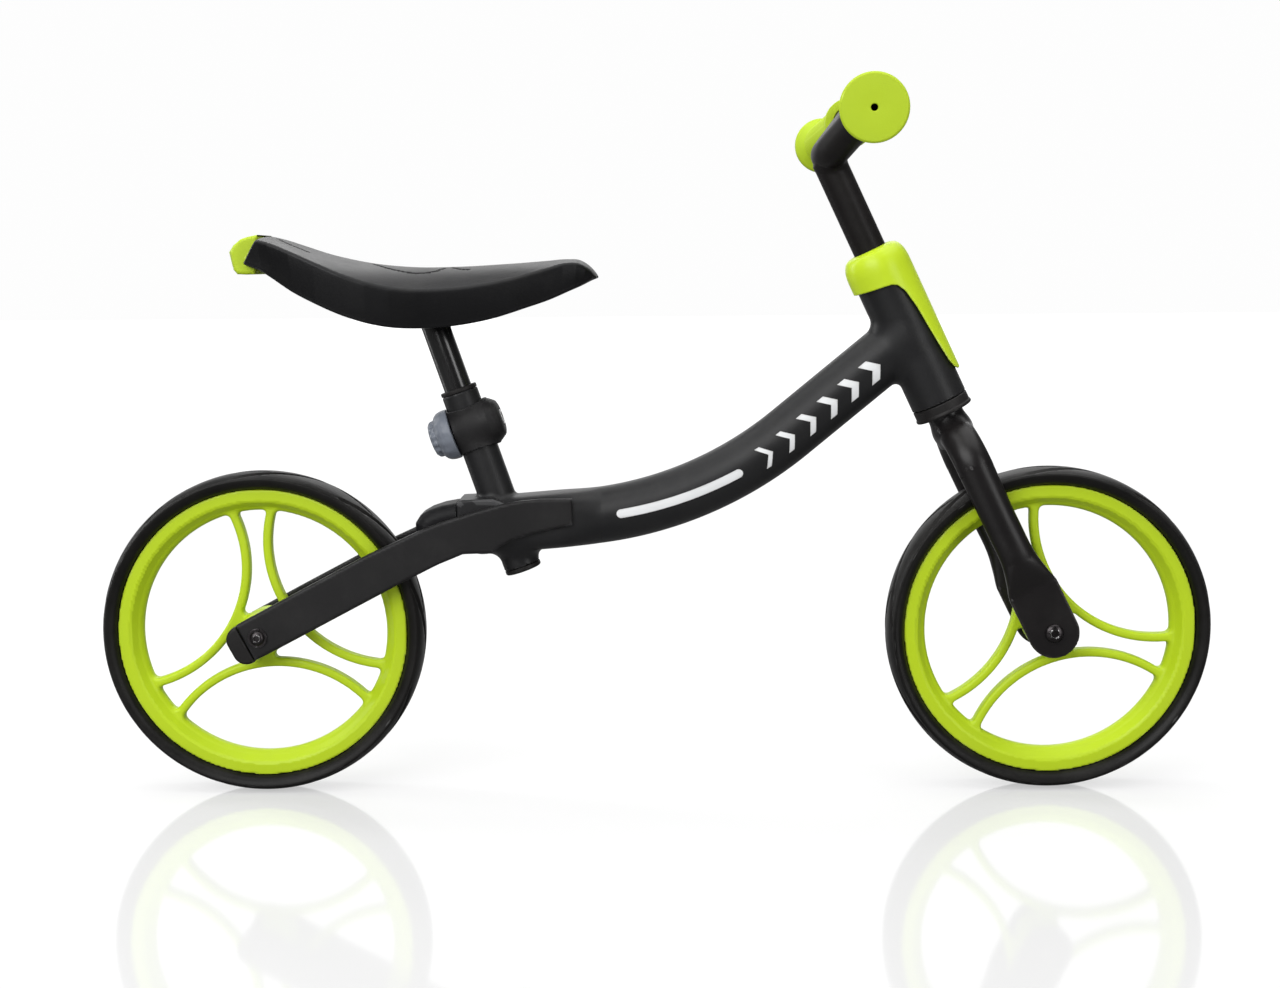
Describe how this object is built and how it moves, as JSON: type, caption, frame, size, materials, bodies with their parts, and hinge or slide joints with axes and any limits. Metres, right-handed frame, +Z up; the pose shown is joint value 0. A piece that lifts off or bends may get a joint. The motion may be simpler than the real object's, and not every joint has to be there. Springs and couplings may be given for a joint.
{
  "type": "balance bike",
  "caption": "Pedal-free balance bike for a toddler: curved tube frame, moulded three-arc wheels with foam tyres, turning fork and handlebar, height-adjustable saddle.",
  "frame": {"origin": "on the ground, half way between the wheels, in the middle of the bike's width", "axes": "+X forwards, +Y to the rider's left, +Z up"},
  "size_m": [0.7408, 0.355, 0.4631],
  "materials": {
    "frame_black": "satin black powder coat",
    "cast_black": "satin black powder coat over a die-cast alloy",
    "fork_black": "semi-gloss black coat",
    "bar_black": "semi-gloss black coat",
    "post_black": "gloss black",
    "black_plastic": "moulded, satin",
    "bridge_black": "moulded, glossy",
    "saddle_black": "soft moulded skin, satin",
    "lime_cover": "moulded lime, satin",
    "lime_grip": "soft lime rubber, matt",
    "lime_wheel": "moulded lime, satin",
    "tyre": "foam rubber, satin",
    "slate_knob": "moulded slate grey, satin",
    "bright_steel": "zinc plated",
    "black_screw": "black oxide"
  },
  "bodies": {
    "frame": {"main_tube": "frame_black", "head_tube": "frame_black", "headset_lower": "black_plastic", "headset_upper": "black_plastic", "head_cover": "lime_cover", "head_cover_screw": "black_screw", "seat_tube": "frame_black", "seat_tube_cap": "black_plastic", "seat_post_sleeve": "black_plastic", "clamp_boss": "cast_black", "clamp_nut": "bright_steel", "rear_junction": "cast_black", "bridge_cover": "bridge_black", "rear_stay_right": "cast_black", "rear_stay_left": "cast_black", "stay_plug_right": "black_plastic", "stay_plug_left": "black_plastic", "rear_axle": "bright_steel", "rear_axle_spacer_right": "bright_steel", "rear_axle_spacer_left": "bright_steel", "rear_axle_washer_right": "black_screw", "rear_axle_washer_left": "black_screw", "rear_axle_screw_right": "black_screw", "rear_axle_screw_left": "black_screw"},
    "clamp_knob": {"clamp_knob": "slate_knob", "clamp_bolt": "bright_steel", "clamp_washer": "bright_steel"},
    "rear_wheel": {"rear_tyre": "tyre", "rear_rim": "lime_wheel", "rear_bearing_right": "bright_steel", "rear_bearing_left": "bright_steel", "rear_hub_spacer": "bright_steel"},
    "steering": {"fork_crown": "fork_black", "fork_blade_right": "fork_black", "fork_blade_left": "fork_black", "stem": "bar_black", "stem_pin": "bright_steel", "handlebar": "bar_black", "grip_right": "lime_grip", "grip_left": "lime_grip", "front_axle": "bright_steel", "front_axle_spacer_right": "bright_steel", "front_axle_spacer_left": "bright_steel", "front_axle_screw_right": "black_screw", "front_axle_screw_left": "black_screw"},
    "front_wheel": {"front_tyre": "tyre", "front_rim": "lime_wheel", "front_bearing_right": "bright_steel", "front_bearing_left": "bright_steel", "front_hub_spacer": "bright_steel"},
    "seat": {"saddle_shell": "saddle_black", "saddle_base": "black_plastic", "saddle_screw_rear": "black_screw", "saddle_screw_front": "black_screw", "tail_grip": "lime_cover", "seat_post": "post_black", "post_plug": "black_plastic"}
  },
  "joints": [
    {"name": "steering_turn", "type": "hinge", "parent": "frame", "child": "steering", "pos_m": [0.142, 0, 0.3592], "axis": [-0.4242, 0, 0.9056], "range_deg": [-75, 75]},
    {"name": "front_wheel_spin", "type": "hinge", "parent": "steering", "child": "front_wheel", "pos_m": [0.2624, 0, 0.108], "axis": [0, 1, 0], "continuous": true},
    {"name": "rear_wheel_spin", "type": "hinge", "parent": "frame", "child": "rear_wheel", "pos_m": [-0.2624, 0, 0.108], "axis": [0, 1, 0], "continuous": true},
    {"name": "seat_height", "type": "slide", "parent": "frame", "child": "seat", "axis": [-0.3256, 0, 0.9455], "range_m": [-0.024, 0.026]},
    {"name": "knob_turn", "type": "hinge", "parent": "frame", "child": "clamp_knob", "pos_m": [-0.12101, 0, 0.24449], "axis": [-0.9455, 0, -0.3256], "continuous": true}
  ]
}
